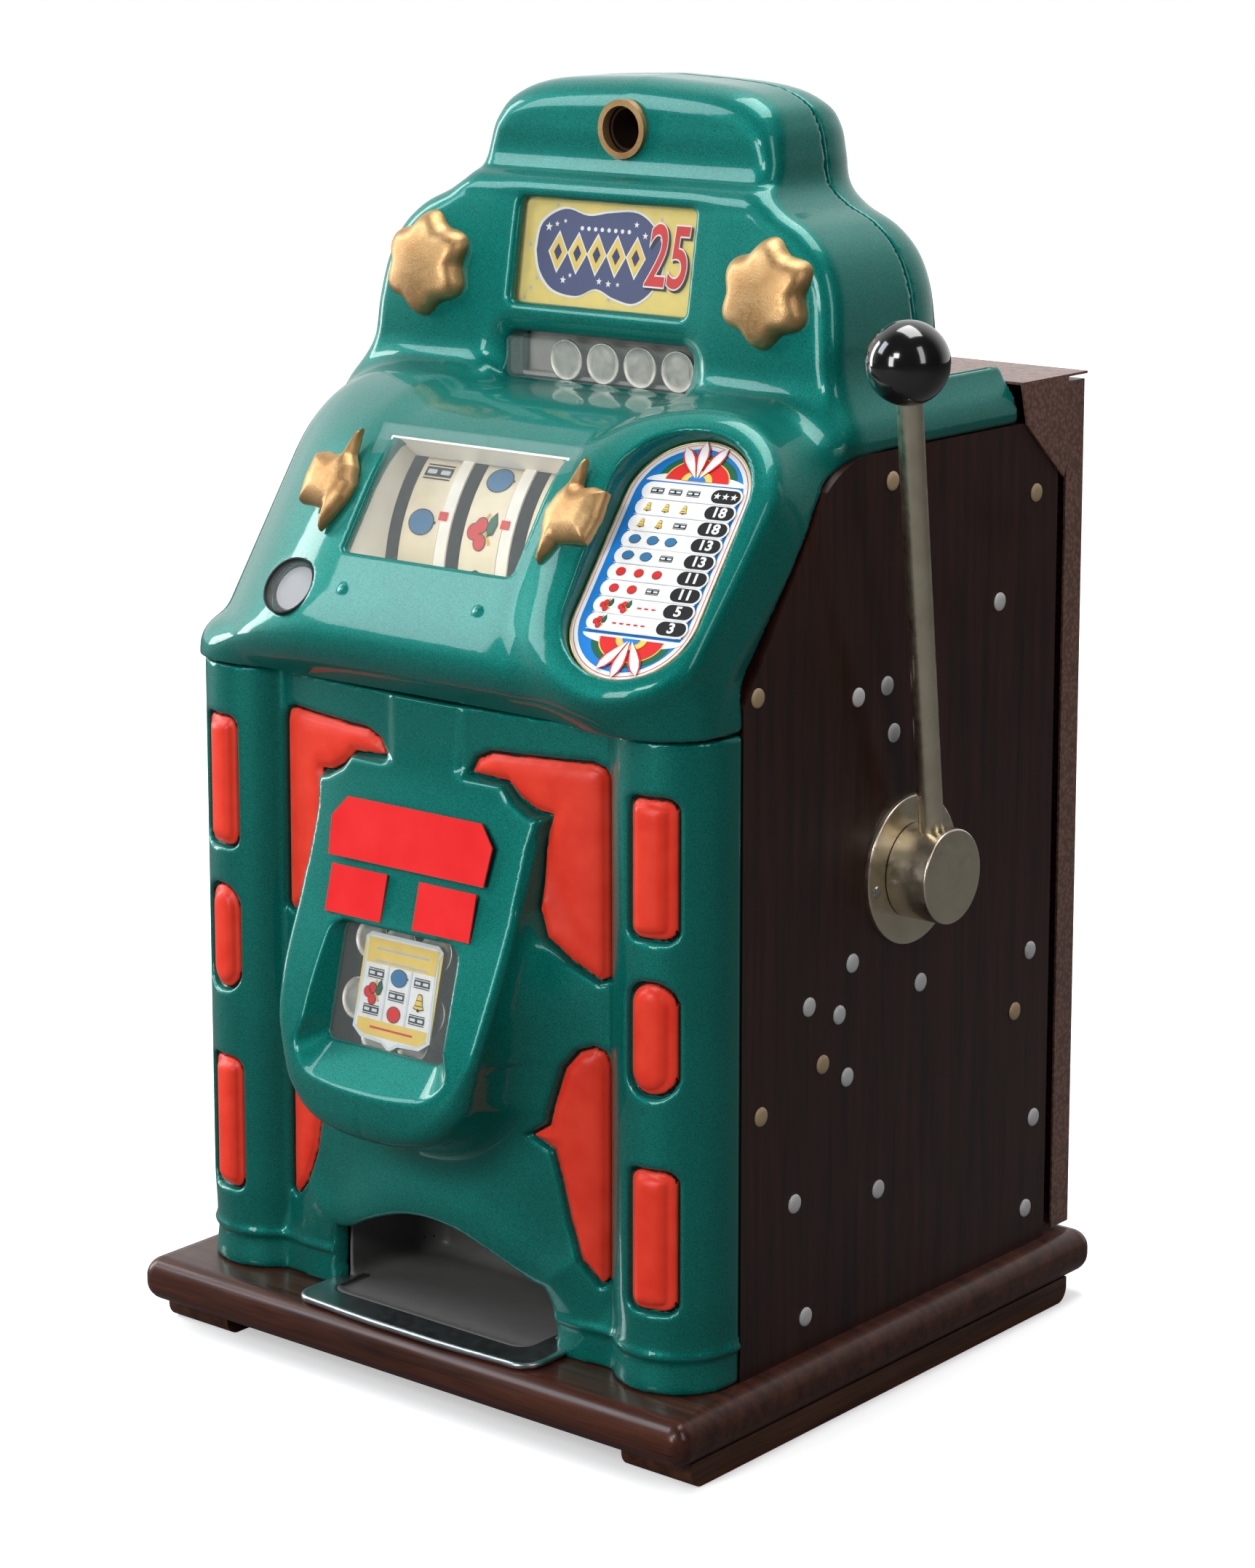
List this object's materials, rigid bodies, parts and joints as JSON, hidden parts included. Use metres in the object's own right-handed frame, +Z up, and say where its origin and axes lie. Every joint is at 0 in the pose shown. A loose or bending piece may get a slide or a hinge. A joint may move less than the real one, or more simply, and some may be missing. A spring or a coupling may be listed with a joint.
{
  "type": "slot machine",
  "caption": "Countertop mechanical three-reel slot machine with a cast front, wooden cabinet, side pull handle, payout cup and hinged rear door.",
  "frame": {"origin": "on the table under the base, in the middle of the cabinet's width", "axes": "+X towards the handle side, +Y towards the rear door, +Z up"},
  "size_m": [0.47, 0.435, 0.739],
  "materials": {
    "dark_lacquered_wood": "gloss lacquer",
    "base_wood": "satin lacquer",
    "green_enamel": "metallic gloss enamel",
    "red_enamel": "satin enamel",
    "gold_enamel": "satin gold enamel",
    "brown_hammertone": "hammered enamel",
    "galvanised_steel": "dull zinc",
    "worn_nickel": "worn nickel plate",
    "black_knob": "gloss",
    "polished_steel": "satin",
    "clear_glass": "clear",
    "printed_card": "printed card",
    "blue_card": "printed card",
    "reel_paper": "printed paper",
    "white_mask": "satin enamel",
    "coin_silver": "struck cupronickel",
    "brass": "satin"
  },
  "bodies": {
    "cabinet": {"arrow_medallions": "gold_enamel", "base_board": "base_wood", "base_feet": "base_wood", "cash_box": "galvanised_steel", "coin_check_disc": "coin_silver", "coin_check_lens": "clear_glass", "coin_chute": "galvanised_steel", "coin_tube": "brass", "crown_rear_shell": "green_enamel", "door_hinges": "brown_hammertone", "entry_ring": "gold_enamel", "entry_throat": "polished_steel", "escalator_coins": "coin_silver", "escalator_cover": "clear_glass", "escalator_plate": "polished_steel", "handle_bush": "brass", "handle_plate": "worn_nickel", "handle_plate_screws": "polished_steel", "jackpot_box": "galvanised_steel", "jackpot_card": "printed_card", "jackpot_coins": "coin_silver", "jackpot_glass": "clear_glass", "leaf_inserts": "red_enamel", "lock_strike": "galvanised_steel", "lower_casting": "green_enamel", "mechanism_frame": "galvanised_steel", "pay_card": "blue_card", "pay_card_plate": "brass", "payout_cup": "galvanised_steel", "pillar_pads": "red_enamel", "rear_frame": "brown_hammertone", "reel_glass": "clear_glass", "reel_mask": "white_mask", "reel_shaft": "polished_steel", "shield_inlays": "red_enamel", "side_board_left": "dark_lacquered_wood", "side_board_right": "dark_lacquered_wood", "side_nails": "galvanised_steel", "sign_card": "printed_card", "sign_glass": "clear_glass", "star_medallions": "gold_enamel", "upper_casting": "green_enamel", "wing_inserts": "red_enamel"},
    "handle": {"handle_hub": "worn_nickel", "handle_rod": "worn_nickel", "handle_knob": "black_knob", "handle_shaft": "polished_steel", "operating_crank": "polished_steel"},
    "reel_left": {"reel_strip_1": "reel_paper", "reel_disc_1": "galvanised_steel"},
    "reel_middle": {"reel_strip_2": "reel_paper", "reel_disc_2": "galvanised_steel"},
    "reel_right": {"reel_strip_3": "reel_paper", "reel_disc_3": "galvanised_steel"},
    "stops": {"stop_levers": "polished_steel"},
    "fan": {"governor_fan": "brass"},
    "payer": {"payout_slide": "polished_steel"},
    "trap": {"jackpot_trap": "galvanised_steel"},
    "door": {"back_door": "brown_hammertone"},
    "lock": {"door_lock": "brass"}
  },
  "joints": [
    {"name": "handle_pull", "type": "hinge", "parent": "cabinet", "child": "handle", "pos_m": [0.19, 0.014, 0.3005], "axis": [1, 0, 0], "range_deg": [0, 75], "stiffness_Nm_per_rad": 2, "springref_deg": -34.38},
    {"name": "left_reel_spin", "type": "hinge", "parent": "cabinet", "child": "reel_left", "pos_m": [0, -0.042, 0.457], "axis": [1, 0, 0], "continuous": true},
    {"name": "middle_reel_spin", "type": "hinge", "parent": "cabinet", "child": "reel_middle", "pos_m": [0, -0.042, 0.457], "axis": [1, 0, 0], "continuous": true},
    {"name": "right_reel_spin", "type": "hinge", "parent": "cabinet", "child": "reel_right", "pos_m": [0, -0.042, 0.457], "axis": [1, 0, 0], "continuous": true},
    {"name": "stop_lever_swing", "type": "hinge", "parent": "cabinet", "child": "stops", "pos_m": [0, 0.046, 0.372], "axis": [1, 0, 0], "range_deg": [0, 15]},
    {"name": "fan_spin", "type": "hinge", "parent": "cabinet", "child": "fan", "pos_m": [-0.11, 0.07, 0.29], "axis": [0, 0, 1], "continuous": true},
    {"name": "payout_slide_travel", "type": "slide", "parent": "cabinet", "child": "payer", "axis": [0, 1, 0], "range_m": [0, 0.012]},
    {"name": "jackpot_trap_swing", "type": "hinge", "parent": "cabinet", "child": "trap", "pos_m": [0, -0.157, 0.19], "axis": [1, 0, 0], "range_deg": [0, 20], "stiffness_Nm_per_rad": 0.05, "springref_deg": -68.75},
    {"name": "back_door_swing", "type": "hinge", "parent": "cabinet", "child": "door", "pos_m": [-0.195, 0.19, 0.3], "axis": [0, 0, 1], "range_deg": [0, 110]},
    {"name": "door_lock_turn", "type": "hinge", "parent": "door", "child": "lock", "pos_m": [0.145, 0.18, 0.33], "axis": [0, 1, 0], "range_deg": [-90, 0]}
  ],
  "couplings": [
    {"joint": "stop_lever_swing", "follows": "handle_pull", "ratio": 0.18}
  ]
}
